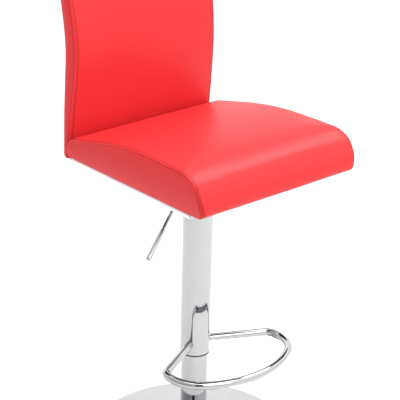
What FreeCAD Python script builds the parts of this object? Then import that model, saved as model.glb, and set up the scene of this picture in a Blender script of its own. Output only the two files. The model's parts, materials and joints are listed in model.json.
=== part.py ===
import FreeCAD, Part
import math
import os

# Adjustable swivel stool with a padded seat and back on a gas-lift column.
# The column axis is Z and the floor is z = 0. The sitter faces -Y, so the back is towards +Y
# and the release lever is on the sitter's right, towards -X. Lengths are in millimetres.
# The height adjustment is stored part of the way up its travel.

# Heights and travel
seat_plane = 615.0            # underside of the seat cushion, on top of the seat frame
sleeve_foot = 205.0           # lower edge of the outer sleeve
footrest_height = 228.0       # centreline of the footrest loop
column_top = 420.0            # top of the fixed column tube
cylinder_foot = 200.0         # lower end of the gas cylinder
travel_up = 120.0             # how far the seat can rise from here

# Fits
running_clearance = 0.05      # radial, for what slides or turns
press_clearance = 0.02        # radial, for what is pressed or welded in
loose_clearance = 0.5         # radial, for covers and screw holes

# Base
base_radius = 202.5
base_skin = 1.5
base_flange_width = 12.0      # rim turned in under the base
base_rim_height = 11.0
base_cone_height = 27.5       # where the cone would meet the neck
base_neck_height = 66.0
base_edge_radius = 3.0
base_rim_radius = 5.0
base_neck_sweep = 36.0
floor_ring_height = 2.0
floor_ring_width = 20.0
ballast_thickness = 4.0
ballast_bore_radius = 14.0
flange_radius = 55.0
flange_thickness = 5.0
flange_bolt_circle = 42.0
flange_bolt_count = 4

# Column and bearing
column_radius = 26.5
column_wall = 2.0
column_floor_thickness = 8.0
bush_length = 80.0
bush_lip = 4.0
race_radius = 13.0
race_thickness = 2.5
ball_radius = 2.0
ball_circle = 9.0
ball_count = 10
cage_thickness = 1.2
cage_half_width = 3.2
buffer_radius = 12.0
buffer_height = 18.0

# Gas spring
rod_radius = 5.0
rod_neck_radius = 4.0
rod_foot = 4.5                # lower end of the rod, inside the base
clip_thickness = 1.2
clip_radius = 7.5
clip_groove = 0.8
washer_thickness = 1.5
washer_radius = 10.0
cylinder_radius = 14.0
cylinder_wall = 1.5
gland_length = 18.0
piston_height = 14.0
piston_stop = 5.0             # spare travel between gland and piston at the top
seal_height = 3.0
seal_depth = 2.0
seal_running_clearance = 0.02
piston_nut_flats = 13.0
piston_nut_height = 6.0
taper_half_angle = 1.4373     # degrees
taper_length = 45.0
cylinder_head = 53.0          # solid head that holds the valve
valve_radius = 3.0
valve_length = 28.0
valve_stand = 11.2            # how far the valve stem stands out of the taper
valve_well = 5.0              # room below the stem
valve_gap = 0.3               # free play between stem and lever
valve_tip_radius = 2.0

# Taper socket and sleeve
socket_radius = 19.0
socket_length = 40.0
socket_flange = 4.0
socket_inset = 3.0            # from the top of the taper to the top of the socket
sleeve_gap = 2.0              # between the column tube and the sleeve, filled by the guide ring
sleeve_wall = 1.5
guide_ring_lip = 3.0
guide_ring_height = 31.0

# Footrest loop, in plan: bars leave the sleeve straight out, then follow these corners
foot_tube_radius = 8.0
foot_tube_wall = 1.5
foot_rear_corner = (140.0, -72.0)
foot_front_corner = (143.0, -134.0)
foot_nose = (0.0, -218.5)
foot_rear_bend = 22.0
foot_front_bend = 70.0
foot_nose_bend = 196.0

# Seat frame
rail_width = 16.0
rail_height = 10.0
rail_wall = 1.5
rail_inset = 1.5              # from the side of the cushion
rail_front = -187.0
rail_rear = 158.0
cap_thickness = 3.0
cap_plug = 12.0
bar_width = 30.0
bar_thickness = 6.0
bar_place = 70.0              # both cross bars, in front of and behind the axis
mount_half_width = 100.0
mount_half_depth = 95.0
mount_corner = 14.0
mount_thickness = 4.0
mount_bolt_x = 75.0
bolt_radius = 4.0
bolt_head_flats = 13.0
bolt_head_height = 5.5
bolt_washer_radius = 8.0
bolt_washer_thickness = 1.5
tnut_wall = 1.0
tnut_flange_radius = 11.0
tnut_flange_thickness = 1.5
upright_width = 30.0
upright_thickness = 5.0
upright_gap = 10.0            # from the mounting plate to the upright
upright_bend = 14.0

# Release lever, in its own upright plane
lever_turn = 15.0             # degrees, from -X towards the front
lever_rod_radius = 3.5
lever_drop = 15.0             # pivot below the mounting plate
pivot_reach = 20.0            # pivot from the column axis
pivot_radius = 2.5
pivot_length = 18.0
lever_tail = 5.0              # rod past the column axis
lever_bend_reach = 36.0
lever_bend = 12.0
lever_fall = 43.3             # degrees below level
lever_arm = 177.0
grip_wall = 1.5
grip_length = 67.0
eye_length = 12.0
eye_shoulder = 0.5            # how far the eye stands out beside the rod
bracket_thickness = 3.0
bracket_depth = 14.0
bracket_below_pivot = 7.0
eye_side_clearance = 0.5
slot_side = 1.5               # room on each side of the rod in the sleeve's slot
slot_above = 8.0
slot_below = 13.0

# Seat cushion
seat_half_width = 189.5
seat_front = -228.0
seat_front_top = -211.0
seat_crest = -10.0            # where the top starts to fall towards the back
seat_rear_top = 168.0
seat_rear = 164.0
seat_thickness = 77.0
seat_rear_thickness = 36.6
seat_radii = (14.0, 65.0, 600.0, 35.0, 5.0)
cover_thickness = 1.2
cover_hem = 20.0
board_inset = 8.0
board_thickness = 12.0
seat_pocket_height = 8.0

# Back cushion, heights above the seat plane
back_bottom = -10.0
back_top = 400.0
back_front_y = 155.0          # where the two straight lines of the front meet
back_front_knee = 205.0
back_rear_y = 194.5
back_rear_knee = 228.0
back_low_lean = 5.7           # degrees, the front below the knee
back_high_lean = 11.0         # degrees, front and rear above the knee
back_bend = 400.0
back_end_radius = 8.0
back_half_bottom = 182.0
back_half_waist = 175.0
back_half_top = 178.0
back_waist_bend = 1500.0
back_top_corner = 28.0
back_bottom_corner = 10.0
back_board_thickness = 8.0
back_board_low = 30.0
back_board_high = 385.0
back_board_half_width = 155.0
upright_top = 330.0
back_bolt_radius = 3.0
back_bolt_head_radius = 6.0
back_bolt_head = 2.5
back_bolt_room = 0.3          # between the bolt heads and the cover
back_bolt_length = 11.0
back_bolt_heights = (70.0, 165.0)

# Places that follow from the sizes above
AXIS = FreeCAD.Vector(0, 0, 0)
UP = FreeCAD.Vector(0, 0, 1)
ballast_top = floor_ring_height + ballast_thickness
column_foot = ballast_top + flange_thickness
column_floor_top = column_foot + column_floor_thickness
lower_race_top = column_floor_top + race_thickness
ball_height = lower_race_top + running_clearance + ball_radius
upper_race_foot = ball_height + ball_radius
rod_shoulder = upper_race_foot + race_thickness
column_bore = column_radius - column_wall
sleeve_bore = column_radius + sleeve_gap
sleeve_radius = sleeve_bore + sleeve_wall
cylinder_bore = cylinder_radius - cylinder_wall
piston_foot = cylinder_foot + gland_length + travel_up + piston_stop
piston_top = piston_foot + piston_height
rod_top = piston_top + piston_nut_height + 2.0
bar_foot = seat_plane - bar_thickness
mount_foot = bar_foot - mount_thickness
pivot_height = mount_foot - lever_drop
valve_top = pivot_height - lever_rod_radius - valve_gap
taper_top = valve_top - valve_stand
taper_foot = taper_top - taper_length
taper_top_radius = cylinder_radius - taper_length * math.tan(math.radians(taper_half_angle))
socket_top = taper_top - socket_inset
rail_outer = seat_half_width - rail_inset
rail_x = rail_outer - rail_width / 2
upright_x = mount_half_width + upright_gap + upright_width / 2
board_foot = seat_plane + cover_thickness
board_top = board_foot + board_thickness
tnut_barrel_radius = bolt_radius + tnut_wall
upright_rear_depth = cover_thickness + back_bolt_room + back_bolt_head
board_rear_depth = upright_rear_depth + upright_thickness
board_front_depth = board_rear_depth + back_board_thickness
grip_radius = lever_rod_radius + grip_wall
eye_width = 2 * (lever_rod_radius + eye_shoulder)
slot_width = 2 * (lever_rod_radius + slot_side)


def side_view(y, z):
    return FreeCAD.Vector(0, y, z)


def front_view(x, z):
    return FreeCAD.Vector(x, 0, z)


def plan_view(x, y):
    return FreeCAD.Vector(x, y, 0)


def corner(before, at, after, radius):
    """Start, middle and end of the arc that rounds one corner."""
    back = (before - at).normalize()
    ahead = (after - at).normalize()
    half = back.getAngle(ahead) / 2
    inward = (back + ahead).normalize()
    reach = radius / math.tan(half)
    centre = at + inward * (radius / math.sin(half))
    return at + back * reach, centre - inward * radius, at + ahead * reach


def rounded_path(points, radii, closed=False):
    """Straight runs through the points, with a tangent arc at each corner of non-zero radius."""
    count = len(points)
    corners = []
    for index, at in enumerate(points):
        end_point = not closed and index in (0, count - 1)
        radius = 0 if end_point else radii[index if closed else index - 1]
        if radius == 0:
            corners.append((at, None, at))
        else:
            corners.append(corner(points[index - 1], at, points[(index + 1) % count], radius))
    edges = []
    for index, (start, middle, end) in enumerate(corners):
        if middle is not None:
            edges.append(Part.Arc(start, middle, end).toShape())
        if closed or index < count - 1:
            next_start = corners[(index + 1) % count][0]
            if end.distanceToPoint(next_start) > 0.001:
                edges.append(Part.makeLine(end, next_start))
    return Part.Wire(edges)


def slab(outline, direction):
    return Part.Face(outline).extrude(direction)


def across(outline, half_width, centre=0.0):
    """A side-view outline given width along X."""
    solid = slab(outline, FreeCAD.Vector(2 * half_width, 0, 0))
    solid.translate(FreeCAD.Vector(centre - half_width, 0, 0))
    return solid


def turned(points, radii=None):
    """A solid of revolution about the column axis from (radius, height) points."""
    corners = [front_view(radius, height) for radius, height in points]
    outline = rounded_path(corners, radii or [0] * len(corners), closed=True)
    return Part.Face(outline).revolve(AXIS, UP, 360)


def disc(radius, low, high):
    return Part.makeCylinder(radius, high - low, FreeCAD.Vector(0, 0, low))


def ring(outer, inner, low, high):
    return disc(outer, low, high).cut(disc(inner, low - 1, high + 1))


def box(low, high):
    low = FreeCAD.Vector(*low)
    size = FreeCAD.Vector(*high) - low
    return Part.makeBox(size.x, size.y, size.z, low)


def hexagon(flats, low, high):
    reach = flats / 2 / math.cos(math.pi / 6)
    corners = [plan_view(reach * math.cos(k * math.pi / 3), reach * math.sin(k * math.pi / 3)) for k in range(6)]
    prism = slab(rounded_path(corners, [0] * 6, closed=True), UP * (high - low))
    prism.translate(UP * low)
    return prism


def moved(shape, x, y, z=0.0):
    copy = shape.copy()
    copy.translate(FreeCAD.Vector(x, y, z))
    return copy


def around(shape, count, start=0.0):
    copies = []
    for index in range(count):
        copy = shape.copy()
        copy.rotate(AXIS, UP, start + index * 360 / count)
        copies.append(copy)
    return copies


def mirrored(shape):
    return shape.mirror(AXIS, FreeCAD.Vector(1, 0, 0))


def stadium(width, height):
    """A flat-oval outline in front view, centred on the origin."""
    across_half = width / 2 - height / 2
    up_half = height / 2
    lower = Part.makeLine(front_view(-across_half, -up_half), front_view(across_half, -up_half))
    right = Part.Arc(front_view(across_half, -up_half), front_view(width / 2, 0), front_view(across_half, up_half))
    upper = Part.makeLine(front_view(across_half, up_half), front_view(-across_half, up_half))
    left = Part.Arc(front_view(-across_half, up_half), front_view(-width / 2, 0), front_view(-across_half, -up_half))
    return Part.Wire([lower, right.toShape(), upper, left.toShape()])


# Base

def base_disc():
    outer = [
        front_view(base_radius - base_flange_width, floor_ring_height),
        front_view(base_radius, floor_ring_height),
        front_view(base_radius, base_rim_height),
        front_view(column_radius + loose_clearance + base_skin, base_cone_height),
        front_view(column_radius + loose_clearance + base_skin, base_neck_height),
    ]
    path = rounded_path(outer, [base_edge_radius, base_rim_radius, base_neck_sweep])
    skin = path.makeOffset2D(base_skin, join=0, fill=True, openResult=True)
    return skin.revolve(AXIS, UP, 360)


def flange_bolt_places():
    places = []
    for index in range(flange_bolt_count):
        angle = math.radians(45 + index * 360 / flange_bolt_count)
        places.append((flange_bolt_circle * math.cos(angle), flange_bolt_circle * math.sin(angle)))
    return places


def drilled(shape, places, radius, low, high):
    for x, y in places:
        shape = shape.cut(moved(disc(radius, low - 1, high + 1), x, y))
    return shape


def floor_ring():
    outer = base_radius - base_edge_radius
    return ring(outer, outer - floor_ring_width, 0, floor_ring_height)


def ballast_plate():
    outer = base_radius - base_flange_width - loose_clearance
    plate = ring(outer, ballast_bore_radius, floor_ring_height, ballast_top)
    hole = bolt_radius + running_clearance
    return drilled(plate, flange_bolt_places(), hole, floor_ring_height, ballast_top)


def column_flange():
    plate = ring(flange_radius, ballast_bore_radius, ballast_top, column_foot)
    hole = bolt_radius + loose_clearance
    return drilled(plate, flange_bolt_places(), hole, ballast_top, column_foot)


def flange_bolts():
    shank = disc(bolt_radius, floor_ring_height, column_foot)
    bolt = shank.fuse(hexagon(bolt_head_flats, column_foot, column_foot + bolt_head_height))
    return Part.Compound([moved(bolt, x, y) for x, y in flange_bolt_places()])


def column_tube():
    return ring(column_radius, column_bore, column_foot, column_top)


def column_floor():
    outer = column_bore - press_clearance
    return ring(outer, rod_neck_radius + running_clearance, column_foot, column_floor_top)


def guide_bush():
    inner = cylinder_radius + running_clearance
    body = ring(column_bore - press_clearance, inner, column_top - bush_length, column_top)
    return body.fuse(ring(column_radius, inner, column_top, column_top + bush_lip))


def lower_race():
    return ring(race_radius, rod_neck_radius + running_clearance, column_floor_top, lower_race_top)


# Rod, which turns on the bearing

def upper_race():
    return ring(race_radius, rod_neck_radius + press_clearance, upper_race_foot, rod_shoulder)


def bearing_balls():
    ball = Part.makeSphere(ball_radius, FreeCAD.Vector(ball_circle, 0, ball_height))
    return Part.Compound(around(ball, ball_count))


def ball_cage():
    low = ball_height - cage_thickness / 2
    high = ball_height + cage_thickness / 2
    cage = ring(ball_circle + cage_half_width, ball_circle - cage_half_width, low, high)
    hole = moved(disc(ball_radius + running_clearance, low - 1, high + 1), ball_circle, 0)
    for cutter in around(hole, ball_count):
        cage = cage.cut(cutter)
    return cage


def rubber_buffer():
    return ring(buffer_radius, rod_radius + press_clearance, rod_shoulder, rod_shoulder + buffer_height)


def rod_washer():
    return ring(washer_radius, rod_neck_radius + press_clearance, column_foot - washer_thickness, column_foot)


def clip_top():
    return column_foot - washer_thickness


def rod_clip():
    clip = ring(clip_radius, rod_neck_radius - clip_groove, clip_top() - clip_thickness, clip_top())
    mouth = box((0, -rod_neck_radius + clip_groove, 0), (clip_radius * 2, rod_neck_radius - clip_groove, clip_top()))
    return clip.cut(mouth)


def piston_rod():
    rod = disc(rod_neck_radius, rod_foot, rod_shoulder)
    rod = rod.fuse(disc(rod_radius, rod_shoulder, piston_foot))
    rod = rod.fuse(disc(rod_neck_radius, piston_foot, rod_top))
    groove = ring(rod_radius, rod_neck_radius - clip_groove, clip_top() - clip_thickness, clip_top())
    return rod.cut(groove)


def seal_foot():
    return (piston_foot + piston_top - seal_height) / 2


def piston():
    outer = cylinder_bore - running_clearance
    body = ring(outer, rod_neck_radius, piston_foot, piston_top)
    groove = ring(cylinder_bore + 1, outer - seal_depth, seal_foot(), seal_foot() + seal_height)
    return body.cut(groove)


def piston_seal():
    outer = cylinder_bore - seal_running_clearance
    inner = cylinder_bore - running_clearance - seal_depth
    return ring(outer, inner, seal_foot(), seal_foot() + seal_height)


def piston_nut():
    nut = hexagon(piston_nut_flats, piston_top, piston_top + piston_nut_height)
    return nut.cut(disc(rod_neck_radius, piston_top - 1, rod_top))


# Gas cylinder, socket, sleeve and footrest, which rise and turn with the seat

def gas_cylinder():
    solid = turned([
        (0, cylinder_foot),
        (cylinder_radius, cylinder_foot),
        (cylinder_radius, taper_foot),
        (taper_top_radius, taper_top),
        (0, taper_top),
    ])
    solid = solid.cut(disc(cylinder_bore, cylinder_foot - 1, taper_top - cylinder_head))
    valve_floor = valve_top - valve_length - valve_well
    return solid.cut(disc(valve_radius + running_clearance, valve_floor, taper_top + 1))


def cylinder_gland():
    return ring(cylinder_bore, rod_radius + running_clearance, cylinder_foot, cylinder_foot + gland_length)


def taper_radius(height):
    fall = (height - taper_foot) * math.tan(math.radians(taper_half_angle))
    return cylinder_radius - fall + press_clearance


def taper_socket():
    low = socket_top - socket_length
    rim = sleeve_bore - press_clearance
    return turned([
        (taper_radius(low), low),
        (rim, low),
        (rim, low + socket_flange),
        (socket_radius, low + socket_flange),
        (socket_radius, socket_top - socket_flange),
        (rim, socket_top - socket_flange),
        (rim, socket_top),
        (taper_radius(socket_top), socket_top),
    ])


def towards_lever(shape):
    """Swing a piece built along -X into the lever's upright plane."""
    copy = shape.copy()
    copy.rotate(AXIS, UP, lever_turn)
    return copy


def sleeve():
    tube = ring(sleeve_radius, sleeve_bore, sleeve_foot, mount_foot)
    slot_low = (-sleeve_radius * 1.5, -slot_width / 2, pivot_height - slot_below)
    slot_high = (-sleeve_bore / 2, slot_width / 2, pivot_height + slot_above)
    return tube.cut(towards_lever(box(slot_low, slot_high)))


def sleeve_guide_ring():
    inner = column_radius + running_clearance
    lip = ring(sleeve_radius, inner, sleeve_foot - guide_ring_lip, sleeve_foot)
    top = sleeve_foot - guide_ring_lip + guide_ring_height
    return lip.fuse(ring(sleeve_bore - press_clearance, inner, sleeve_foot, top))


def footrest_loop():
    rear_x, rear_y = foot_rear_corner
    front_x, front_y = foot_front_corner
    start = sleeve_radius / 2 / math.hypot(rear_x, rear_y)
    right_half = [(rear_x * start, rear_y * start), (rear_x, rear_y), (front_x, front_y)]
    left_half = [(-x, y) for x, y in reversed(right_half)]
    points = [FreeCAD.Vector(x, y, footrest_height) for x, y in right_half + [foot_nose] + left_half]
    bends = [foot_rear_bend, foot_front_bend, foot_nose_bend, foot_front_bend, foot_rear_bend]
    path = rounded_path(points, bends)
    heading = points[1] - points[0]
    outer = Part.Wire(Part.makeCircle(foot_tube_radius, points[0], heading))
    inner = Part.Wire(Part.makeCircle(foot_tube_radius - foot_tube_wall, points[0], heading))
    tube = path.makePipeShell([outer], True, True).cut(path.makePipeShell([inner], True, True))
    low = footrest_height - 2 * foot_tube_radius
    high = footrest_height + 2 * foot_tube_radius
    return tube.cut(disc(sleeve_radius, low, high))


# Seat frame

def side_rail():
    outer = Part.Face(stadium(rail_width, rail_height))
    inner = Part.Face(stadium(rail_width - 2 * rail_wall, rail_height - 2 * rail_wall))
    tube = outer.cut(inner).extrude(FreeCAD.Vector(0, rail_rear - rail_front, 0))
    return moved(tube, rail_x, rail_front, seat_plane - rail_height / 2)


def rail_end_cap():
    """The cap for the front end of the rail at +X."""
    flange = slab(stadium(rail_width, rail_height), FreeCAD.Vector(0, -cap_thickness, 0))
    shrink = 2 * rail_wall + 2 * press_clearance
    plug = slab(stadium(rail_width - shrink, rail_height - shrink), FreeCAD.Vector(0, cap_plug, 0))
    return flange.fuse(plug)


def rail_end_caps():
    height = seat_plane - rail_height / 2
    front = moved(rail_end_cap(), rail_x, rail_front, height)
    rear = rail_end_cap().mirror(AXIS, FreeCAD.Vector(0, 1, 0))
    rear = moved(rear, rail_x, rail_rear, height)
    return Part.Compound([front, rear, mirrored(front), mirrored(rear)])


def mount_bolt_places():
    return [(x, y) for x in (-mount_bolt_x, mount_bolt_x) for y in (-bar_place, bar_place)]


def cross_bar(place):
    reach = rail_x
    bar = box((-reach, place - bar_width / 2, bar_foot), (reach, place + bar_width / 2, seat_plane))
    solid_rail = slab(stadium(rail_width, rail_height), FreeCAD.Vector(0, rail_rear - rail_front, 0))
    solid_rail = moved(solid_rail, rail_x, rail_front, seat_plane - rail_height / 2)
    bar = bar.cut(solid_rail).cut(mirrored(solid_rail))
    bar = max(bar.Solids, key=lambda solid: solid.Volume)
    return drilled(bar, mount_bolt_places(), bolt_radius + loose_clearance, bar_foot, seat_plane)


def mount_plate():
    corners = [
        plan_view(-mount_half_width, -mount_half_depth),
        plan_view(mount_half_width, -mount_half_depth),
        plan_view(mount_half_width, mount_half_depth),
        plan_view(-mount_half_width, mount_half_depth),
    ]
    plate = slab(rounded_path(corners, [mount_corner] * 4, closed=True), UP * mount_thickness)
    plate = moved(plate, 0, 0, mount_foot)
    return drilled(plate, mount_bolt_places(), bolt_radius + loose_clearance, mount_foot, bar_foot)


def mount_washers():
    low = mount_foot - bolt_washer_thickness
    washer = ring(bolt_washer_radius, bolt_radius + press_clearance, low, mount_foot)
    return Part.Compound([moved(washer, x, y) for x, y in mount_bolt_places()])


def mount_bolts():
    head_top = mount_foot - bolt_washer_thickness
    head = hexagon(bolt_head_flats, head_top - bolt_head_height, head_top)
    bolt = head.fuse(disc(bolt_radius, head_top, board_top))
    return Part.Compound([moved(bolt, x, y) for x, y in mount_bolt_places()])


def seat_tnuts():
    bore = bolt_radius + press_clearance
    barrel = ring(tnut_barrel_radius, bore, board_foot, board_top)
    nut = barrel.fuse(ring(tnut_flange_radius, bore, board_top, board_top + tnut_flange_thickness))
    return Part.Compound([moved(nut, x, y) for x, y in mount_bolt_places()])


def rear_line(depth, low, high):
    """Three points of a line at this depth in front of the back's rear surface, low to high."""
    lean = math.radians(back_high_lean)
    y = back_rear_y - depth
    knee = seat_plane + back_rear_knee + depth * math.tan(lean / 2)
    top = seat_plane + high
    return [(y, low), (y, knee), (y + (top - knee) * math.tan(lean), top)]


def back_upright():
    """A flat bar that runs under the seat, turns up and follows the back, at +X."""
    leg_front = -bar_place - bar_width / 2
    leg_foot = bar_foot - upright_thickness
    front = rear_line(board_rear_depth, bar_foot, upright_top)
    rear = rear_line(upright_rear_depth, leg_foot, upright_top)
    outline = [(leg_front, bar_foot)] + front + rear[::-1] + [(leg_front, leg_foot)]
    radii = [0, upright_bend, back_bend + board_rear_depth, 0]
    radii += [0, back_bend + upright_rear_depth, upright_bend + upright_thickness, 0]
    wire = rounded_path([side_view(y, z) for y, z in outline], radii, closed=True)
    bar = across(wire, upright_width / 2, upright_x)
    for height in back_bolt_heights:
        bar = bar.cut(back_bolt_hole(upright_x, height, back_bolt_radius + running_clearance))
    return bar


def back_bolt_hole(x, height, radius):
    start = FreeCAD.Vector(x, back_rear_y, seat_plane + height)
    return Part.makeCylinder(radius, back_rear_y, start, FreeCAD.Vector(0, -1, 0))


def back_bolts():
    bolts = []
    for x in (-upright_x, upright_x):
        for height in back_bolt_heights:
            seat = FreeCAD.Vector(x, back_rear_y - upright_rear_depth, seat_plane + height)
            head = Part.makeCylinder(back_bolt_head_radius, back_bolt_head, seat, FreeCAD.Vector(0, 1, 0))
            shank = Part.makeCylinder(back_bolt_radius, back_bolt_length, seat, FreeCAD.Vector(0, -1, 0))
            bolts.append(head.fuse(shank))
    return Part.Compound(bolts)


# Release lever

def lever_path():
    fall = math.radians(lever_fall)
    start = front_view(lever_tail, pivot_height)
    bend = front_view(-lever_bend_reach, pivot_height)
    tip_x = -lever_bend_reach - lever_arm * math.cos(fall)
    tip = front_view(tip_x, pivot_height - lever_arm * math.sin(fall))
    return start, bend, tip


def pivot_hole(radius, length):
    start = FreeCAD.Vector(-pivot_reach, -length / 2, pivot_height)
    return Part.makeCylinder(radius, length, start, FreeCAD.Vector(0, 1, 0))


def lever_rod():
    start, bend, tip = lever_path()
    path = rounded_path([start, bend, tip], [lever_bend])
    section = Part.Wire(Part.makeCircle(lever_rod_radius, start, FreeCAD.Vector(1, 0, 0)))
    rod = path.makePipeShell([section], True, True)
    eye_low = (-pivot_reach - eye_length / 2, -eye_width / 2, pivot_height - eye_length / 2)
    eye_high = (-pivot_reach + eye_length / 2, eye_width / 2, pivot_height + eye_length / 2)
    rod = rod.fuse(box(eye_low, eye_high))
    return towards_lever(rod.cut(pivot_hole(pivot_radius + running_clearance, 2 * eye_width)))


def lever_grip():
    start, bend, tip = lever_path()
    along = (tip - bend).normalize()
    foot = tip - along * (grip_length - grip_radius)
    grip = Part.makeCylinder(grip_radius, grip_length - grip_radius, foot, along)
    grip = grip.fuse(Part.makeSphere(grip_radius, tip))
    return towards_lever(grip.cut(Part.makeCylinder(lever_rod_radius, grip_length - grip_radius, foot, along)))


def lever_bracket():
    inner = eye_width / 2 + eye_side_clearance
    outer = inner + bracket_thickness
    near = -pivot_reach + bracket_depth / 2
    far = -pivot_reach - bracket_depth / 2
    low = pivot_height - bracket_below_pivot
    bracket = box((far, -outer, low), (near, outer, mount_foot))
    gap = box((far - 1, -inner, low - 1), (near + 1, inner, mount_foot - bracket_thickness))
    bracket = bracket.cut(gap)
    return towards_lever(bracket.cut(pivot_hole(pivot_radius, 4 * outer)))


def lever_pivot_pin():
    return towards_lever(pivot_hole(pivot_radius, pivot_length))


def valve_pin():
    slope = valve_radius - valve_tip_radius
    low = valve_top - valve_length
    return turned([
        (0, low),
        (valve_radius, low),
        (valve_radius, valve_top - slope),
        (valve_tip_radius, valve_top),
        (0, valve_top),
    ])


# Seat cushion

def seat_outline(shrink=0.0):
    corners = [
        side_view(seat_front, seat_plane),
        side_view(seat_front_top, seat_plane + seat_thickness),
        side_view(seat_crest, seat_plane + seat_thickness),
        side_view(seat_rear_top, seat_plane + seat_rear_thickness),
        side_view(seat_rear, seat_plane),
    ]
    outline = rounded_path(corners, list(seat_radii), closed=True)
    return outline.makeOffset2D(-shrink) if shrink else outline


def seat_inside():
    return across(seat_outline(cover_thickness), seat_half_width - cover_thickness)


def seat_floor(inset, low, high):
    """A flat sheet under the cushion, inset from its edges."""
    front = seat_front + seat_radii[0] + inset
    rear = seat_rear - seat_radii[-1] - inset
    reach = seat_half_width - cover_thickness - inset
    return box((-reach, front, low), (reach, rear, high))


def seat_cover():
    shell = across(seat_outline(), seat_half_width).cut(seat_inside())
    return shell.cut(seat_floor(cover_hem, seat_plane - 1, board_foot + 1))


def dust_cover():
    sheet = seat_floor(cover_hem, seat_plane, board_foot)
    hole = bolt_radius + loose_clearance
    return drilled(sheet, mount_bolt_places(), hole, seat_plane, board_foot)


def seat_board():
    board = seat_floor(board_inset, board_foot, board_top)
    return drilled(board, mount_bolt_places(), tnut_barrel_radius, board_foot, board_top)


def seat_foam():
    foam = seat_inside().cut(seat_floor(board_inset, board_foot - 1, board_top))
    pocket = tnut_flange_radius + loose_clearance
    return drilled(foam, mount_bolt_places(), pocket, board_top, board_top + seat_pocket_height)


# Back cushion

def back_solid(shrink):
    low_slope = math.tan(math.radians(back_low_lean))
    high_slope = math.tan(math.radians(back_high_lean))
    bottom = seat_plane + back_bottom
    top = seat_plane + back_top
    knee = seat_plane + back_front_knee
    front = [
        (back_front_y + (knee - bottom) * low_slope, bottom),
        (back_front_y, knee),
        (back_front_y + (top - knee) * high_slope, top),
    ]
    rear = rear_line(0.0, bottom, back_top)
    side = [side_view(y, z) for y, z in front + rear[::-1]]
    ends = back_end_radius
    outline = rounded_path(side, [ends, back_bend, ends, ends, back_bend, ends], closed=True)
    face = [
        front_view(back_half_bottom, bottom),
        front_view(back_half_waist, knee),
        front_view(back_half_top, top),
        front_view(-back_half_top, top),
        front_view(-back_half_waist, knee),
        front_view(-back_half_bottom, bottom),
    ]
    radii = [back_bottom_corner, back_waist_bend, back_top_corner]
    shape = rounded_path(face, radii + radii[::-1], closed=True)
    if shrink:
        outline = outline.makeOffset2D(-shrink)
        shape = shape.makeOffset2D(-shrink)
    depth = 2 * back_rear_y
    return across(outline, 2 * back_half_bottom).common(slab(shape, FreeCAD.Vector(0, depth, 0)))


def back_board():
    front = rear_line(board_front_depth, seat_plane + back_board_low, back_board_high)
    rear = rear_line(board_rear_depth, seat_plane + back_board_low, back_board_high)
    side = [side_view(y, z) for y, z in front + rear[::-1]]
    radii = [0, back_bend + board_front_depth, 0, 0, back_bend + board_rear_depth, 0]
    board = across(rounded_path(side, radii, closed=True), back_board_half_width)
    for x in (-upright_x, upright_x):
        for height in back_bolt_heights:
            board = board.cut(back_bolt_hole(x, height, back_bolt_radius))
    return board


def back_cover():
    cover = back_solid(0.0).cut(back_solid(cover_thickness))
    upright = back_upright()
    cover = cover.cut(upright).cut(mirrored(upright))
    return max(cover.Solids, key=lambda solid: solid.Volume)


def back_foam():
    foam = back_solid(cover_thickness)
    upright = back_upright()
    for piece in (back_board(), upright, mirrored(upright), back_bolts()):
        foam = foam.cut(piece)
    return max(foam.Solids, key=lambda solid: solid.Volume)


parts = {
    "base_disc": base_disc(),
    "floor_ring": floor_ring(),
    "ballast_plate": ballast_plate(),
    "column_flange": column_flange(),
    "flange_bolts": flange_bolts(),
    "column_tube": column_tube(),
    "column_floor": column_floor(),
    "guide_bush": guide_bush(),
    "lower_race": lower_race(),
    "upper_race": upper_race(),
    "bearing_balls": bearing_balls(),
    "ball_cage": ball_cage(),
    "rubber_buffer": rubber_buffer(),
    "rod_washer": rod_washer(),
    "rod_clip": rod_clip(),
    "piston_rod": piston_rod(),
    "piston": piston(),
    "piston_seal": piston_seal(),
    "piston_nut": piston_nut(),
    "gas_cylinder": gas_cylinder(),
    "cylinder_gland": cylinder_gland(),
    "taper_socket": taper_socket(),
    "sleeve": sleeve(),
    "sleeve_guide_ring": sleeve_guide_ring(),
    "footrest_loop": footrest_loop(),
    "side_rail_left": side_rail(),
    "side_rail_right": mirrored(side_rail()),
    "rail_end_caps": rail_end_caps(),
    "front_cross_bar": cross_bar(-bar_place),
    "rear_cross_bar": cross_bar(bar_place),
    "mount_plate": mount_plate(),
    "mount_washers": mount_washers(),
    "mount_bolts": mount_bolts(),
    "seat_tnuts": seat_tnuts(),
    "back_upright_left": back_upright(),
    "back_upright_right": mirrored(back_upright()),
    "back_bolts": back_bolts(),
    "lever_bracket": lever_bracket(),
    "lever_pivot_pin": lever_pivot_pin(),
    "lever_rod": lever_rod(),
    "lever_grip": lever_grip(),
    "valve_pin": valve_pin(),
    "seat_board": seat_board(),
    "seat_foam": seat_foam(),
    "seat_cover": seat_cover(),
    "dust_cover": dust_cover(),
    "back_board": back_board(),
    "back_foam": back_foam(),
    "back_cover": back_cover(),
}

os.makedirs("parts", exist_ok=True)
for name, shape in parts.items():
    solids = shape.Solids
    state = "valid" if shape.isValid() else "NOT VALID"
    print(name, len(solids), "solids", round(shape.Volume), "mm3", state)
    whole = solids[0] if len(solids) == 1 else Part.Compound(solids)
    whole.exportStep(os.path.join("parts", name + ".step"))
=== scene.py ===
import json
import math

import bpy
import numpy as np
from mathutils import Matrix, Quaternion, Vector, noise
from mathutils.bvhtree import BVHTree


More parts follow.
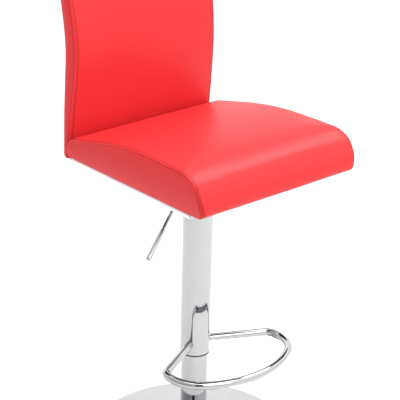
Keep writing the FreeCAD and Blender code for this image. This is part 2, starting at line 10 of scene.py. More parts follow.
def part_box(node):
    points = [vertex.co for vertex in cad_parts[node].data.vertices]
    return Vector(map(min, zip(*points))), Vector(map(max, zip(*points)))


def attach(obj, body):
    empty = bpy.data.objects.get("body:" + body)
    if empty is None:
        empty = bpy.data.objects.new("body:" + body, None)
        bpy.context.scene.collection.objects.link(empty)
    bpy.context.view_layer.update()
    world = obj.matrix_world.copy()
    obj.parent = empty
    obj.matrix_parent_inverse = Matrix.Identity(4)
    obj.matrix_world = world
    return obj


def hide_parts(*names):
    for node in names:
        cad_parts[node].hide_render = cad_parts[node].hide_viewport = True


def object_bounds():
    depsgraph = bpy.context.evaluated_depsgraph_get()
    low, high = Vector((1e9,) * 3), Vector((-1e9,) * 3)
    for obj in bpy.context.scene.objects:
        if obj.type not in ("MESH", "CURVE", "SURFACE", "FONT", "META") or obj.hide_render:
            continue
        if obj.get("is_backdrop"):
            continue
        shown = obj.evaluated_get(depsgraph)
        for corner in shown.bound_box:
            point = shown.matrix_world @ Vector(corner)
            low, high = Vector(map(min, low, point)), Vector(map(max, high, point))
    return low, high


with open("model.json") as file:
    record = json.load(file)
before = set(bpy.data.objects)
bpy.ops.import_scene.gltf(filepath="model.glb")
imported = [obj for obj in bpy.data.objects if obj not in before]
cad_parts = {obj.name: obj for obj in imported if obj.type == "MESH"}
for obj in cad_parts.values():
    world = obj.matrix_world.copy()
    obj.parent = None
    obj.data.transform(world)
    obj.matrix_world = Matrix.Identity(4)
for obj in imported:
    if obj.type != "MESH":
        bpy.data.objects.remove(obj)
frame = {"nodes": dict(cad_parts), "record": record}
cad_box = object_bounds()
nodes = frame["nodes"]
scene = bpy.context.scene

# Adjustable swivel stool. Metres, column axis Z, floor z = 0, the sitter faces -Y.
SEAT_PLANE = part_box("seat_cover")[0].z
SEAT_BODY = "seat_assembly"

# Seat cushion, side view as (y, height above the seat plane), with a radius at each corner
SEAT_CORNERS = [(-0.228, 0.0), (-0.215, 0.077), (-0.010, 0.077), (0.171, 0.0366), (0.168, 0.0)]
SEAT_RADII = [0.014, 0.062, 0.600, 0.025, 0.014]
SEAT_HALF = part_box("seat_cover")[1].x
SEAT_HEM = 0.020              # leather turned in under the seat
SEAT_STITCH = 0.0055          # topstitch to seam
SEAT_ROLL = (0.0040, 0.0100)  # how far the seam sits below the top, and the width of the roll
SEAT_FLARE = 0.0065           # how far the sides bulge past the turned-in hem
SEAT_NOSE = 0.160             # the seam flares this far back, and the bulge fades this far from the rear

# Back cushion, front view as (x, height above the seat plane)
BACK_CORNERS = [
    (0.1810, -0.012), (0.1800, 0.085), (0.1742, 0.205), (0.1770, 0.400),
    (-0.1770, 0.400), (-0.1742, 0.205), (-0.1800, 0.085), (-0.1810, -0.012),
]
BACK_RADII = [0.010, 1.000, 1.000, 0.028, 0.028, 1.000, 1.000, 0.010]
# y and height of the bend, slope below and above it, half length of the bend
BACK_FRONT = (0.155, 0.205, -0.0998, 0.1944, 0.059)
BACK_REAR = (0.1945, 0.228, 0.0, 0.1944, 0.039)
BACK_STITCH = 0.0080
BACK_ROLL = (0.0040, 0.0090)
BACK_CENTRE = (0.0, 0.2)
BACK_CORE = (0.15, 0.19)      # the rim is further than this from the centre, across or up
GUSSET_BOW = 0.0022           # how far the back's gusset bows out

WORLD_BRIGHT = 1.45
WORLD_DIM = 0.60
CELL = 0.0052                 # usual spacing of the cushion meshes
SEAM_ROWS = (0.0016, 0.0032)  # extra rows beside a seam
SEAT_SUNK = (0.0007, 0.0011)  # how deep the seam and the topstitch are pulled in
BACK_SUNK = (0.0008, 0.0012)
SEAM_PAINTED_SHADE_AND_GRIME = (0.8, 0.9)        # how much darker the leather is painted at the seam and the topstitch: crevice shade with some grime
NOSE_PAINTED_SHADE = 0.6               # painted shade on the leather between the two, at the tip of the nose
THREAD = 0.00042              # radius of the sewing thread


# Materials

def tree_of(name):
    material = bpy.data.materials.new(name)
    material.use_nodes = True
    return material, material.node_tree, material.node_tree.nodes["Principled BSDF"]


def add(tree, kind, inputs=None, **settings):
    node = tree.nodes.new(kind)
    for key, value in settings.items():
        setattr(node, key, value)
    for key, value in (inputs or {}).items():
        if isinstance(value, bpy.types.NodeSocket):
            tree.links.new(value, node.inputs[key])
        else:
            node.inputs[key].default_value = value
    return node


def place(tree, stretch=(1, 1, 1)):
    """Object-space position in metres, stretched along each axis."""
    coords = add(tree, "ShaderNodeTexCoord")
    mapping = add(tree, "ShaderNodeMapping", {"Vector": coords.outputs["Object"]})
    mapping.inputs["Scale"].default_value = stretch
    return mapping.outputs["Vector"]


def noise_at(tree, scale, detail=3.0, stretch=(1, 1, 1), rough=0.5):
    inputs = {"Vector": place(tree, stretch), "Scale": scale, "Detail": detail, "Roughness": rough}
    return add(tree, "ShaderNodeTexNoise", inputs).outputs["Fac"]


def spread(tree, fac, low, high, start=0.3, end=0.7):
    inputs = {"Value": fac, "From Min": start, "From Max": end, "To Min": low, "To Max": high}
    return add(tree, "ShaderNodeMapRange", inputs).outputs["Result"]


def blend_colour(tree, fac, dark, light):
    mix = add(tree, "ShaderNodeMix", data_type="RGBA")
    tree.links.new(fac, mix.inputs["Factor"])
    mix.inputs["A"].default_value = (*dark, 1)
    mix.inputs["B"].default_value = (*light, 1)
    return mix.outputs["Result"]


def relief(tree, heights):
    """Bump nodes in a chain, from (height socket, strength, distance in metres)."""
    normal = None
    for height, strength, distance in heights:
        inputs = {"Height": height, "Strength": strength, "Distance": distance}
        if normal is not None:
            inputs["Normal"] = normal
        normal = add(tree, "ShaderNodeBump", inputs).outputs["Normal"]
    return normal


def finish_of(name, dark, light, roughness, metallic=0.0, tone=120, grain=(), **sockets):
    """A material with uneven colour and roughness, and grain as
    (scale, strength, distance, stretch) layers of noise relief."""
    material, tree, shader = tree_of(name)
    shader.inputs["Metallic"].default_value = metallic
    for key, value in sockets.items():
        shader.inputs[key.replace("_", " ")].default_value = value
    fac = spread(tree, noise_at(tree, tone, 4.0), 0.0, 1.0)
    tree.links.new(blend_colour(tree, fac, dark, light), shader.inputs["Base Color"])
    uneven = noise_at(tree, tone * 2.3, 5.0)
    tree.links.new(spread(tree, uneven, *roughness), shader.inputs["Roughness"])
    layers = [(noise_at(tree, scale, 2.0, stretch), strength, distance)
              for scale, strength, distance, stretch in grain]
    if layers:
        tree.links.new(relief(tree, layers), shader.inputs["Normal"])
    return material


EVEN = (1, 1, 1)


def leather(name, dark, light, rough):
    """Smooth coated leather: fine pebble grain, pores, and darker along its seams from painted crevice
    shade with some grime.
    """
    material, tree, shader = tree_of(name)
    shader.inputs["Specular IOR Level"].default_value = 0.20
    shader.inputs["Coat Weight"].default_value = 0.05
    shader.inputs["Coat Roughness"].default_value = 0.28
    fac = spread(tree, noise_at(tree, 6, 2.0), 0.0, 1.0)
    even = blend_colour(tree, fac, dark, light)
    seam = add(tree, "ShaderNodeAttribute", attribute_name="seam").outputs["Fac"]
    # painted crevice shade with some grime: the seam attribute multiplies the red darker along seams and
    # topstitches
    seam_shade_and_grime = add(tree, "ShaderNodeMix", data_type="RGBA", blend_type="MULTIPLY")
    tree.links.new(seam, seam_shade_and_grime.inputs["Factor"])
    tree.links.new(even, seam_shade_and_grime.inputs["A"])
    seam_shade_and_grime.inputs["B"].default_value = (0.58, 0.35, 0.35, 1)
    tree.links.new(seam_shade_and_grime.outputs["Result"], shader.inputs["Base Color"])
    tree.links.new(spread(tree, noise_at(tree, 240, 6.0), *rough), shader.inputs["Roughness"])
    cells = add(tree, "ShaderNodeTexVoronoi", {"Vector": place(tree), "Scale": 1050.0},
                feature="SMOOTH_F1")
    cells.inputs["Smoothness"].default_value = 0.6
    creases = noise_at(tree, 420, 4.0, (1.0, 1.6, 1.0), 0.6)
    pores = noise_at(tree, 2600, 2.0)
    layers = [
        (cells.outputs["Distance"], 0.16, 0.00022), (creases, 0.10, 0.00030), (pores, 0.05, 0.0001)]
    tree.links.new(relief(tree, layers), shader.inputs["Normal"])
    return material


def woven(name, dark, light, pitch):
    """Plain cloth of crossed threads."""
    material, tree, shader = tree_of(name)
    shader.inputs["Sheen Weight"].default_value = 0.25
    waves = []
    for direction in ("X", "Y"):
        inputs = {"Vector": place(tree), "Scale": 0.314 / pitch, "Distortion": 0.6, "Detail": 1.0}
        wave = add(tree, "ShaderNodeTexWave", inputs, bands_direction=direction)
        waves.append(wave.outputs["Fac"])
    weave = add(tree, "ShaderNodeMath", {0: waves[0], 1: waves[1]}, operation="MULTIPLY").outputs[0]
    tree.links.new(blend_colour(tree, weave, dark, light), shader.inputs["Base Color"])
    tree.links.new(spread(tree, noise_at(tree, 300), 0.8, 0.95), shader.inputs["Roughness"])
    layers = [(weave, 0.5, 0.0003), (noise_at(tree, 1500), 0.2, 0.0002)]
    tree.links.new(relief(tree, layers), shader.inputs["Normal"])
    return material


def plywood(name):
    """Veneer with long grain along Y and thin glued plies across its thickness."""
    material, tree, shader = tree_of(name)
    rings = noise_at(tree, 60, 6.0, (3.0, 0.25, 3.0), 0.6)
    veneer = blend_colour(tree, spread(tree, rings, 0, 1), (0.42, 0.26, 0.13), (0.72, 0.52, 0.31))
    inputs = {"Vector": place(tree), "Scale": 180.0, "Distortion": 0.4, "Detail": 2.0}
    plies = add(tree, "ShaderNodeTexWave", inputs, bands_direction="Z").outputs["Fac"]
    bands = add(tree, "ShaderNodeMix", data_type="RGBA", blend_type="MULTIPLY")
    tree.links.new(spread(tree, plies, 0.0, 0.45, 0.55, 0.9), bands.inputs["Factor"])
    tree.links.new(veneer, bands.inputs["A"])
    bands.inputs["B"].default_value = (0.45, 0.33, 0.24, 1)
    tree.links.new(bands.outputs["Result"], shader.inputs["Base Color"])
    tree.links.new(spread(tree, rings, 0.55, 0.75), shader.inputs["Roughness"])
    tree.links.new(relief(tree, [(rings, 0.25, 0.0003)]), shader.inputs["Normal"])
    return material


LONG_Z = (1.0, 1.0, 0.03)
finishes = {
    "chrome": finish_of(
        "chrome", (0.475, 0.48, 0.49), (0.505, 0.51, 0.52), (0.025, 0.055), 1.0, 25,
        [(18, 0.020, 0.002, EVEN), (1800, 0.012, 0.0001, LONG_Z)]),
    # the side rails' chrome, a brighter copy of the chrome that paints in their highlight
    "rail_chrome_painted_bright": finish_of(
        "rail_chrome_painted_bright", (0.86, 0.87, 0.88), (0.92, 0.93, 0.94), (0.06, 0.12), 1.0, 25,
        [(1800, 0.012, 0.0001, LONG_Z)]),
    "black_rubber": finish_of(
        "black_rubber", (0.012, 0.012, 0.013), (0.03, 0.03, 0.031), (0.62, 0.85), 0.0, 200,
        [(1300, 0.25, 0.0002, EVEN), (90, 0.1, 0.0005, EVEN)]),
    "raw_steel": finish_of(
        "raw_steel", (0.34, 0.34, 0.35), (0.56, 0.56, 0.57), (0.28, 0.48), 1.0, 90,
        [(1500, 0.18, 0.0001, (1.0, 0.05, 1.0)), (60, 0.06, 0.0006, EVEN)]),
    "zinc_steel": finish_of(
        "zinc_steel", (0.56, 0.57, 0.60), (0.74, 0.75, 0.72), (0.24, 0.42), 1.0, 160,
        [(900, 0.12, 0.0001, EVEN)]),
    "brass": finish_of(
        "brass", (0.60, 0.41, 0.16), (0.80, 0.60, 0.28), (0.22, 0.38), 1.0, 220,
        [(1100, 0.1, 0.0001, EVEN)]),
    "aluminium": finish_of(
        "aluminium", (0.62, 0.63, 0.65), (0.80, 0.81, 0.83), (0.26, 0.40), 1.0, 180,
        [(1600, 0.2, 0.0001, (0.05, 0.05, 1.0))]),
    "black_paint": finish_of(
        "black_paint", (0.012, 0.012, 0.014), (0.028, 0.028, 0.031), (0.32, 0.50), 0.0, 150,
        [(650, 0.3, 0.0002, EVEN)], Coat_Weight=0.15),
    "black_plastic": finish_of(
        "black_plastic", (0.010, 0.010, 0.011), (0.022, 0.022, 0.024), (0.45, 0.65), 0.0, 240,
        [(1900, 0.3, 0.00015, EVEN)]),
    "plywood": plywood("plywood"),
    "foam": finish_of(
        "foam", (0.74, 0.66, 0.42), (0.88, 0.82, 0.60), (0.85, 0.98), 0.0, 80,
        [(1400, 0.8, 0.0006, EVEN)]),
    "red_leather": leather("red_leather", (0.645, 0.026, 0.028), (0.675, 0.029, 0.031), (0.38, 0.46)),
    "black_fabric": woven("black_fabric", (0.008, 0.008, 0.009), (0.045, 0.045, 0.047), 0.0006),
}
thread_red = woven("thread_red", (0.30, 0.004, 0.008), (0.62, 0.02, 0.03), 0.0004)

for part in frame["record"]["subparts"]:
    target = nodes.get(part.get("node") or part.get("name"))
    if target is not None:
        # side rails take the brighter chrome copy, a painted highlight
        finish = "rail_chrome_painted_bright" if target.name.startswith("side_rail") else part["material_slot"]
        target.data.materials.clear()
        target.data.materials.append(finishes[finish])


# Cushion shapes

def rounded(points, radii, turn_step=math.radians(5)):
    """A closed outline with an arc at each corner, and the place of each arc's middle in it."""
    outline, middles = [], []
    for at, radius in enumerate(radii):
        before, here, after = (np.array(points[(at + k) % len(points)]) for k in (-1, 0, 1))
        back = (before - here) / np.linalg.norm(before - here)
        ahead = (after - here) / np.linalg.norm(after - here)
        half = math.acos(np.clip(back @ ahead, -1, 1)) / 2
        centre = here + (back + ahead) / np.linalg.norm(back + ahead) * radius / math.sin(half)
        start = here + back * radius / math.tan(half) - centre
        end = here + ahead * radius / math.tan(half) - centre
        turn = math.pi - 2 * half
        steps = 2 * max(1, math.ceil(turn / turn_step / 2))
        middles.append(len(outline) + steps // 2)
        for share in np.linspace(0, 1, steps + 1):
            swing = math.sin((1 - share) * turn) * start + math.sin(share * turn) * end
            outline.append(centre + swing / math.sin(turn))
    return np.array(outline), middles


def side_of(outline, first, last):
    """A function from 0..1 to a point, by length, along the outline from one index to another."""
    steps = (last - first) % len(outline)
    run = np.array([outline[(first + k) % len(outline)] for k in range(steps + 1)])
    length = np.concatenate([[0], np.cumsum(np.linalg.norm(np.diff(run, axis=0), axis=1))])

    def at(share):
        return np.array([np.interp(share * length[-1], length, run[:, k]) for k in (0, 1)])
    return at, length[-1]


def patch(outline, corners):
    """The inside of an outline as a grid, from its corner indices: low start, low end,
    high end and high start. Also gives the lengths along and up."""
    low, along = side_of(outline, corners[0], corners[1])
    end, up = side_of(outline, corners[1], corners[2])
    high_back, _ = side_of(outline, corners[2], corners[3])
    start_back, _ = side_of(outline, corners[3], corners[0])

    def at(s, t):
        rim = (1 - t) * low(s) + t * high_back(1 - s) + (1 - s) * start_back(1 - t) + s * end(t)
        bends = (1 - s) * (1 - t) * low(0) + s * (1 - t) * low(1)
        return rim - bends - (1 - s) * t * high_back(1) - s * t * high_back(0)
    return at, along, up


def rows(length, edges):
    """Shares of a length: rows at the given distances from both ends, even between them."""
    inner = length - 2 * edges[-1]
    count = max(2, round(inner / CELL))
    middle = np.linspace(edges[-1], length - edges[-1], count + 1)[1:-1]
    near = np.array((0.0, *edges))
    return np.concatenate([near, middle, length - near[::-1]]) / length


def roll(inside, shape):
    """How far the leather has rolled down towards its seam, at a distance inside the seam."""
    drop, width = shape
    return drop * (1 - math.sin(math.pi / 2 * min(1.0, inside / width)))


class Lattice:
    """The closed surface of a block of cells, where place(a, b, c) puts each corner."""

    def __init__(self, a, b, c, position):
        self.size = (len(a), len(b), len(c))
        self.index = {}
        self.points = []
        for i, u in enumerate(a):
            for j, v in enumerate(b):
                for k, w in enumerate(c):
                    if self.on_surface(i, j, k):
                        self.index[i, j, k] = len(self.points)
                        self.points.append(position(u, v, w))

    def on_surface(self, *at):
        return any(n in (0, size - 1) for n, size in zip(at, self.size))

    def faces(self):
        found = []
        for axis in range(3):
            one, two = [n for n in range(3) if n != axis]
            for wall in (0, self.size[axis] - 1):
                for p in range(self.size[one] - 1):
                    for q in range(self.size[two] - 1):
                        face = []
                        for dp, dq in ((0, 0), (1, 0), (1, 1), (0, 1)):
                            at = [0, 0, 0]
                            at[axis], at[one], at[two] = wall, p + dp, q + dq
                            face.append(self.index[tuple(at)])
                        outward = (wall == 0) == (axis == 1)
                        found.append(face if outward else face[::-1])
        return found


def mesh_object(name, points, faces):
    mesh = bpy.data.meshes.new(name)
    mesh.from_pydata([tuple(map(float, p)) for p in points], [], faces)
    mesh.update()
    for polygon in mesh.polygons:
        polygon.use_smooth = True
    made = bpy.data.objects.new(name, mesh)
    scene.collection.objects.link(made)
    return made


def coordinates(mesh):
    flat = np.zeros(len(mesh.vertices) * 3, np.float32)
    mesh.vertices.foreach_get("co", flat)
    return flat.reshape(-1, 3).astype(float)


def normals(mesh):
    flat = np.zeros(len(mesh.vertices) * 3, np.float32)
    mesh.vertex_normals.foreach_get("vector", flat)
    return flat.reshape(-1, 3).astype(float)


def set_coordinates(mesh, points):
    mesh.vertices.foreach_set("co", points.astype(np.float32).ravel())
    mesh.update()


def swell(obj, held, pressure, reach):
    """Blow the cushion up by cloth simulation from its seams, and ease off past a reach."""
    rest = coordinates(obj.data)
    group = obj.vertex_groups.new(name="held")
    group.add([int(n) for n in held], 1.0, "REPLACE")
    cloth = obj.modifiers.new("Cloth", "CLOTH")
    cloth.settings.quality = 5
    cloth.settings.use_pressure = True
    cloth.settings.uniform_pressure_force = pressure
    cloth.settings.vertex_group_mass = "held"
    cloth.settings.effector_weights.gravity = 0
    cloth.point_cache.frame_start = 1
    cloth.point_cache.frame_end = 20
    for step in range(1, 21):
        scene.frame_set(step)
    moved = coordinates(obj.evaluated_get(bpy.context.evaluated_depsgraph_get()).data)
    obj.modifiers.remove(cloth)
    obj.vertex_groups.remove(group)
    scene.frame_set(1)
    step = moved - rest
    size = np.linalg.norm(step, axis=1, keepdims=True)
    set_coordinates(obj.data, rest + step / np.maximum(size, 1e-9) * reach * np.tanh(size / reach))


def sew(obj, sunk, painted_seam_shade, near_seam):
    """Sink the stitched rows, and make the leather beside them slightly uneven."""
    points, facing = coordinates(obj.data), normals(obj.data)
    for n, near in near_seam.items():
        p = Vector(points[n] * 95)
        sunk[n] = sunk.get(n, 0.0) - near * 0.0003 * noise.noise(p)
    for n, depth in sunk.items():
        points[n] -= facing[n] * depth
    for n in range(len(points)):
        wide = noise.noise(Vector(points[n] * 11)) * 0.0006
        points[n] += facing[n] * wide
    set_coordinates(obj.data, points)
    # the seam attribute carries painted shade, with some grime, along the seams to the leather
    layer = obj.data.attributes.new("seam", "FLOAT", "POINT")
    values = np.zeros(len(points), np.float32)
    for n, share in painted_seam_shade.items():
        values[n] = share
    layer.data.foreach_set("value", values)


def crease(obj, pairs):
    layer = obj.data.attributes.new("crease_edge", "FLOAT", "EDGE")
    for edge in obj.data.edges:
        layer.data[edge.index].value = pairs.get(tuple(sorted(edge.vertices)), 0.0)


def smooth_mesh(obj):
    """Apply one subdivision, so that the final mesh is what rides."""
    modifier = obj.modifiers.new("Subdivision", "SUBSURF")
    modifier.levels = modifier.render_levels = 1
    modifier.boundary_smooth = "PRESERVE_CORNERS"
    made = bpy.data.meshes.new_from_object(obj.evaluated_get(bpy.context.evaluated_depsgraph_get()))
    obj.modifiers.clear()
    obj.data = made
    made.name = obj.name
    for polygon in made.polygons:
        polygon.use_smooth = True


def stitches(name, obj, lines, pitch=0.0042, length=0.0031):
    """Sewing thread along lines of points on a cushion, each stitch dipping in at its ends."""
    tree = BVHTree.FromObject(obj, bpy.context.evaluated_depsgraph_get())
    points, faces = [], []
    profile = ((-0.5, 0.45, -1.0), (-0.36, 0.9, 0.2), (-0.12, 1.0, 0.75),
               (0.12, 1.0, 0.75), (0.36, 0.9, 0.2), (0.5, 0.45, -1.0))
    around = 6
    for line in lines:
        run = np.array(line)
        travelled = np.concatenate([[0], np.cumsum(np.linalg.norm(np.diff(run, axis=0), axis=1))])
        count = int(travelled[-1] / pitch)
        for n in range(count):
            middle = (n + 0.5) * travelled[-1] / count
            at, ahead = (np.array([np.interp(d, travelled, run[:, k]) for k in range(3)])
                         for d in (middle, middle + 0.0005))
            along = Vector(ahead - at).normalized()
            spot, up, _, _ = tree.find_nearest(Vector(at))
            side = along.cross(up).normalized()
            first = len(points)
            for share, wide, lift in profile:
                centre = spot + along * share * length + up * lift * THREAD
                for k in range(around):
                    angle = 2 * math.pi * k / around
                    swing = side * math.cos(angle) + up * math.sin(angle)
                    points.append(centre + swing * THREAD * wide)
            for ring in range(len(profile) - 1):
                for k in range(around):
                    a = first + ring * around + k
                    b = first + ring * around + (k + 1) % around
                    faces.append((a, b, b + around, a + around))
            last = first + (len(profile) - 1) * around
            faces.append(tuple(range(first + around - 1, first - 1, -1)))
            faces.append(tuple(range(last, last + around)))
    made = mesh_object(name, points, faces)
    made.data.materials.append(thread_red)
    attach(made, SEAT_BODY)


# Seat cushion: a top panel that wraps over nose and rear, and bulging side gussets

def seat_cushion():
    outline, middles = rounded(SEAT_CORNERS, SEAT_RADII)
    # the outline runs from the low front over the top to the low rear
    section, along, up = patch(outline[::-1], [len(outline) - 1 - middles[n] for n in (0, 4, 3, 1)])
    edges = (*SEAM_ROWS, SEAT_STITCH, SEAT_STITCH + 0.0016, 0.0100, 0.0140)
    across = rows(2 * SEAT_HALF, edges)
    length = rows(along, (*SEAM_ROWS, 0.006, 0.010))
    height = rows(up, (0.0012, 0.0026, 0.0046))

    def position(u, s, t):
        nose, tail = (np.clip(1 - share * along / SEAT_NOSE, 0, 1) for share in (s, 1 - s))
        seam_flare = 0.15 + 0.55 * nose * nose * (3 - 2 * nose)
        flare = (1 - seam_flare) * math.sin(math.pi * t ** 0.85) + seam_flare * min(1.0, t / 0.4)
        flare *= 1 - 0.5 * tail * tail * (3 - 2 * tail)
        x = (2 * u - 1) * SEAT_HALF
        wide = 1 + SEAT_FLARE * flare / SEAT_HALF
        drop = roll(SEAT_HALF - abs(x), SEAT_ROLL)
        tall = np.linalg.norm(section(s, 1) - section(s, 0))
        y, z = section((drop + s * (along - 2 * drop)) / along, t * (1 - drop / tall))
        inside = min(SEAT_HALF - abs(x), s * along, (1 - s) * along)
        lift = 0.0009 * np.clip((inside - SEAT_HEM) / 0.003, 0, 1) * (t == 0)
        return (x * wide, y, SEAT_PLANE + z + lift)

    block = Lattice(across, length, height, position)
    made = mesh_object("seat_cushion", block.points, block.faces())
    ni, nj, nk = block.size
    stitch = 1 + edges.index(SEAT_STITCH)
    near_rows, nose_rows = 9, 24
    rim = [(0, k) for k in range(nk)] + [(j, nk - 1) for j in range(1, nj)]
    rim += [(nj - 1, k) for k in range(nk - 2, -1, -1)]
    at = block.index
    held = [n for (i, j, k), n in at.items() if k == 0]
    sunk, share, near, creased = {}, {}, {}, {}
    for i, inner in ((0, stitch), (ni - 1, ni - 1 - stitch)):
        toward = 1 if i == 0 else -1
        for (j, k), (j2, k2) in zip(rim, rim[1:]):
            creased[tuple(sorted((at[i, j, k], at[i, j2, k2])))] = 0.55
        for j, k in rim:
            held += [at[i, j, k], at[inner, j, k]]
            # painted crevice shade, with some grime, on the seam and topstitch rows
            for n, depth, dark in zip((at[i, j, k], at[inner, j, k]), SEAT_SUNK, SEAM_PAINTED_SHADE_AND_GRIME):
                sunk[n], share[n] = depth, dark
            # painted shade on the strip between seam and topstitch, fading back from the nose
            for step in range(1, stitch):
                share[at[i + toward * step, j, k]] = NOSE_PAINTED_SHADE * max(0.0, 1 - j / nose_rows)
            for step in range(1, near_rows):
                near[at[i + toward * step, j, k]] = 1.0 - step / near_rows
    swell(made, held, 4.0, 0.008)
    sew(made, sunk, share, near)
    crease(made, creased)
    lines = [[made.data.vertices[at[i, j, k]].co.copy() for j, k in rim[2:-2]]
             for i in (stitch, ni - 1 - stitch)]
    smooth_mesh(made)
    made.data.materials.append(finishes["red_leather"])
    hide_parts("seat_cover", "seat_foam")
    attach(made, SEAT_BODY)
    stitches("seat_topstitch", made, lines)


# Back cushion: a front panel, a rear panel and a gusset all round between them

def leaning(line, z):
    """Y of the back's front or rear at a height: two straight slopes and a smooth bend."""
    y, knee, low, high, bend = line
    past = np.clip(z - knee + bend, 0, 2 * bend)
    turned = past ** 2 / (4 * bend) + max(0.0, z - knee - bend)
    return y + low * (z - knee) + (high - low) * turned


def back_cushion():
    outline, middles = rounded(BACK_CORNERS, BACK_RADII)
    face, along, up = patch(outline, [middles[n] for n in (7, 0, 3, 4)])
    edges = (*SEAM_ROWS, 0.0060, BACK_STITCH, BACK_STITCH + 0.0020, 0.0125, 0.0165)
    across = rows(along, edges)
    height = rows(up, edges)
    depth = rows(0.032, (0.0014, 0.0030))

    def position(u, w, v):
        x, z = face(u, v)
        front, rear = leaning(BACK_FRONT, z), leaning(BACK_REAR, z)
        inside = min(u * along, (1 - u) * along, v * up, (1 - v) * up)
        drop = roll(inside, BACK_ROLL)
        front, rear = front + drop, rear - drop
        if inside == 0:
            out = np.array((x, z)) - BACK_CENTRE
            out *= (np.abs(out) > BACK_CORE)
            x, z = (x, z) + out / max(np.linalg.norm(out), 1e-9) * GUSSET_BOW * math.sin(math.pi * w)
        return (x, rear + (front - rear) * (1 - w), SEAT_PLANE + z)

    block = Lattice(across, depth, height, position)
    made = mesh_object("back_cushion", block.points, block.faces())
    ni, nj, nk = block.size
    stitch = 1 + edges.index(BACK_STITCH)
    near_rows = 10
    at = block.index
    held, sunk, share, near, creased = [], {}, {}, {}, {}

    def loop(inset):
        """Grid places round the panel, inset rows in from its seam."""
        low, wide, tall = inset, ni - 1 - inset, nk - 1 - inset
        ring = [(i, low) for i in range(low, wide)] + [(wide, k) for k in range(low, tall)]
        ring += [(i, tall) for i in range(wide, low, -1)] + [(low, k) for k in range(tall, low, -1)]
        return ring + ring[:1]

    for j in (0, nj - 1):
        seam, row = loop(0), loop(stitch)
        for (i, k), (i2, k2) in zip(seam, seam[1:]):
            creased[tuple(sorted((at[i, j, k], at[i2, j, k2])))] = 0.55
        # painted crevice shade, with some grime, on the seam and topstitch rows
        for line, depth, dark in zip((seam, row), BACK_SUNK, SEAM_PAINTED_SHADE_AND_GRIME):
            for i, k in line:
                held.append(at[i, j, k])
                sunk[at[i, j, k]], share[at[i, j, k]] = depth, dark
        for step in range(1, near_rows):
            for i, k in loop(step):
                near[at[i, j, k]] = 1.0 - step / near_rows
    swell(made, held, 4.0, 0.006)
    sew(made, sunk, share, near)
    crease(made, creased)
    lines = [[made.data.vertices[at[i, j, k]].co.copy() for i, k in loop(stitch)]
             for j in (0, nj - 1)]
    smooth_mesh(made)
    made.data.materials.append(finishes["red_leather"])
    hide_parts("back_cover", "back_foam")
    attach(made, SEAT_BODY)
    stitches("back_topstitch", made, lines)


seat_cushion()
back_cushion()


# Dust cover: black cloth stretched under the seat, folded in at its edges and stapled

def dust_cover():
    low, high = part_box("dust_cover")
    folded = 0.0015
    xs = np.linspace(low.x - folded, high.x + folded, 71)
    ys = np.linspace(low.y - folded, high.y + folded, 69)
    points, faces = [], []
    for i, x in enumerate(xs):
        for j, y in enumerate(ys):
            edge = min(x - xs[0], xs[-1] - x, y - ys[0], ys[-1] - y)
            pucker = 0.00012 * math.sin(edge * 900) * math.exp(-edge / 0.02)
            wave = 0.00010 * noise.noise(Vector((x * 40, y * 40, 0)))
            points.append((x, y, SEAT_PLANE - 0.0003 + pucker + wave))
    for i in range(len(xs) - 1):
        for j in range(len(ys) - 1):
            a = i * len(ys) + j
            faces.append((a, a + 1, a + len(ys) + 1, a + len(ys)))
    made = mesh_object("dust_cover_cloth", points, faces)
    made.data.materials.append(finishes["black_fabric"])
    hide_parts("dust_cover")
    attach(made, SEAT_BODY)
    staples(xs[0], xs[-1], ys[0], ys[-1])


def staples(left, right, front, rear):
    """Flat wire staples round the dust cover, 6 mm in from its edge."""
    inset, wide, wire = 0.006, 0.0050, 0.0003
    spots = []
    for x in np.linspace(left + 0.02, right - 0.02, 9):
        spots += [(x, front + inset, 0.0), (x, rear - inset, 0.0)]
    for y in np.linspace(front + 0.03, rear - 0.03, 8):
        spots += [(left + inset, y, 1.0), (right - inset, y, 1.0)]
    points, faces = [], []
    for x, y, turned in spots:
        along = Vector((0, 1, 0)) if turned else Vector((1, 0, 0))
        side = Vector((1, 0, 0)) if turned else Vector((0, 1, 0))
        path = [(-0.5, 0.0006), (-0.5, -0.0004), (-0.44, -0.0007),
                (0.44, -0.0007), (0.5, -0.0004), (0.5, 0.0006)]
        first = len(points)
        for share, lift in path:
            centre = Vector((x, y, SEAT_PLANE - 0.0003 + lift)) + along * share * wide
            for k in range(6):
                angle = math.pi * k / 3
                across = side * math.cos(angle) * 1.6
                across += (Vector((0, 0, 1)) if abs(share) < 0.49 else along) * math.sin(angle)
                points.append(centre + across * wire)
        for ring in range(len(path) - 1):
            for k in range(6):
                a, b = first + ring * 6 + k, first + ring * 6 + (k + 1) % 6
                faces.append((a, b, b + 6, a + 6))
    made = mesh_object("dust_cover_staples", points, faces)
    made.data.materials.append(finishes["zinc_steel"])
    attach(made, SEAT_BODY)


dust_cover()


# Floor, light and camera

def light_world():
    """An even white studio that is less bright on the sitter's right."""
    world = bpy.data.worlds.new("studio")
    scene.world = world
    world.use_nodes = True
    tree = world.node_tree
    coords = add(tree, "ShaderNodeTexCoord")
    parts = add(tree, "ShaderNodeSeparateXYZ", {"Vector": coords.outputs["Generated"]})
    strength = spread(tree, parts.outputs["X"], WORLD_DIM, WORLD_BRIGHT, -0.9, 0.1)
    tree.links.new(strength, tree.nodes["Background"].inputs["Strength"])
    tree.nodes["Background"].inputs["Color"].default_value = (1, 1, 1, 1)


def softbox(name, at, aim, size, power):
    data = bpy.data.lights.new(name, "AREA")
    data.shape = "RECTANGLE"
    data.size, data.size_y = size
    data.energy = power
    lamp = bpy.data.objects.new(name, data)
    lamp.location = at
    lamp.rotation_mode = "QUATERNION"
    lamp.rotation_quaternion = (Vector(aim) - Vector(at)).to_track_quat("-Z", "Y")
    scene.collection.objects.link(lamp)


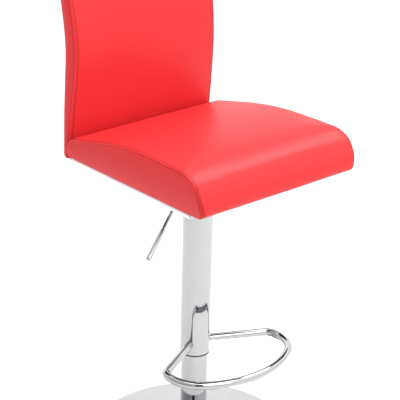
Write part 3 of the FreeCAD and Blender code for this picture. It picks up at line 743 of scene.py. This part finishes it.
def dark_band(name, radius, low, high, first=0, last=360):
    """A dark strip round the studio, between two bearings, that only shiny metal reflects."""
    points, faces = [], []
    bearings = np.linspace(math.radians(first), math.radians(last), 65)
    for a in bearings:
        points += [(radius * math.cos(a), radius * math.sin(a), z) for z in (low, high)]
    for k in range(len(bearings) - 1):
        faces.append((2 * k, 2 * k + 2, 2 * k + 3, 2 * k + 1))
    band = mesh_object(name, points, faces)
    black, _, shader = tree_of("dark_card")
    shader.inputs["Base Color"].default_value = (0.02, 0.02, 0.022, 1)
    shader.inputs["Roughness"].default_value = 1.0
    band.data.materials.append(black)
    band.visible_camera = band.visible_diffuse = band.visible_shadow = False
    band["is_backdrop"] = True


def studio():
    reach = 30.0
    corners = [(-reach, -reach, 0), (reach, -reach, 0), (reach, reach, 0), (-reach, reach, 0)]
    floor = mesh_object("floor", corners, [(0, 1, 2, 3)])
    pale, _, shader = tree_of("pale_floor")
    shader.inputs["Base Color"].default_value = (0.82, 0.82, 0.82, 1)
    shader.inputs["Roughness"].default_value = 0.9
    shader.inputs["Specular IOR Level"].default_value = 0.1
    floor.data.materials.append(pale)
    floor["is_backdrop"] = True

    light_world()
    softbox("top_box", (0.0, -0.3, 3.0), (0, 0, 0.6), (2.0, 2.0), 30.0)
    softbox("right_box", (1.95, -0.1, 3.1), (0, -0.1, 0.65), (1.5, 1.2), 36.0)
    softbox("front_box", (-0.5, -2.6, 2.4), (0, 0.2, 0.85), (1.6, 1.3), 16.0)

    dark_band("horizon_band", 5.0, 0.1, 0.4)
    dark_band("rear_band", 3.0, 2.0, 3.6, 0, 110)
    dark_band("camera_band", 3.3, 1.0, 4.6, 217, 239)


studio()

AIM = Vector((0.0020, -0.0018, 0.5314))
AZIMUTH, ELEVATION, ROLL = -41.8321, 23.0045, 1.5256
DISTANCE = 2.9020


def camera():
    a, e = math.radians(AZIMUTH), math.radians(ELEVATION)
    away = Vector((math.sin(a) * math.cos(e), -math.cos(a) * math.cos(e), math.sin(e)))
    data = bpy.data.cameras.new("camera")
    data.lens = 135
    data.sensor_width = 36
    made = bpy.data.objects.new("camera", data)
    made.rotation_mode = "QUATERNION"
    made.location = AIM + away * DISTANCE
    roll = Quaternion((0, 0, 1), math.radians(ROLL))
    made.rotation_quaternion = (-away).to_track_quat("-Z", "Y") @ roll
    scene.collection.objects.link(made)
    scene.camera = made


camera()
scene.view_settings.view_transform = "Standard"

boxes = {"cad": cad_box, "visual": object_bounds()}
{name: [list(corner) for corner in box] for name, box in boxes.items()}
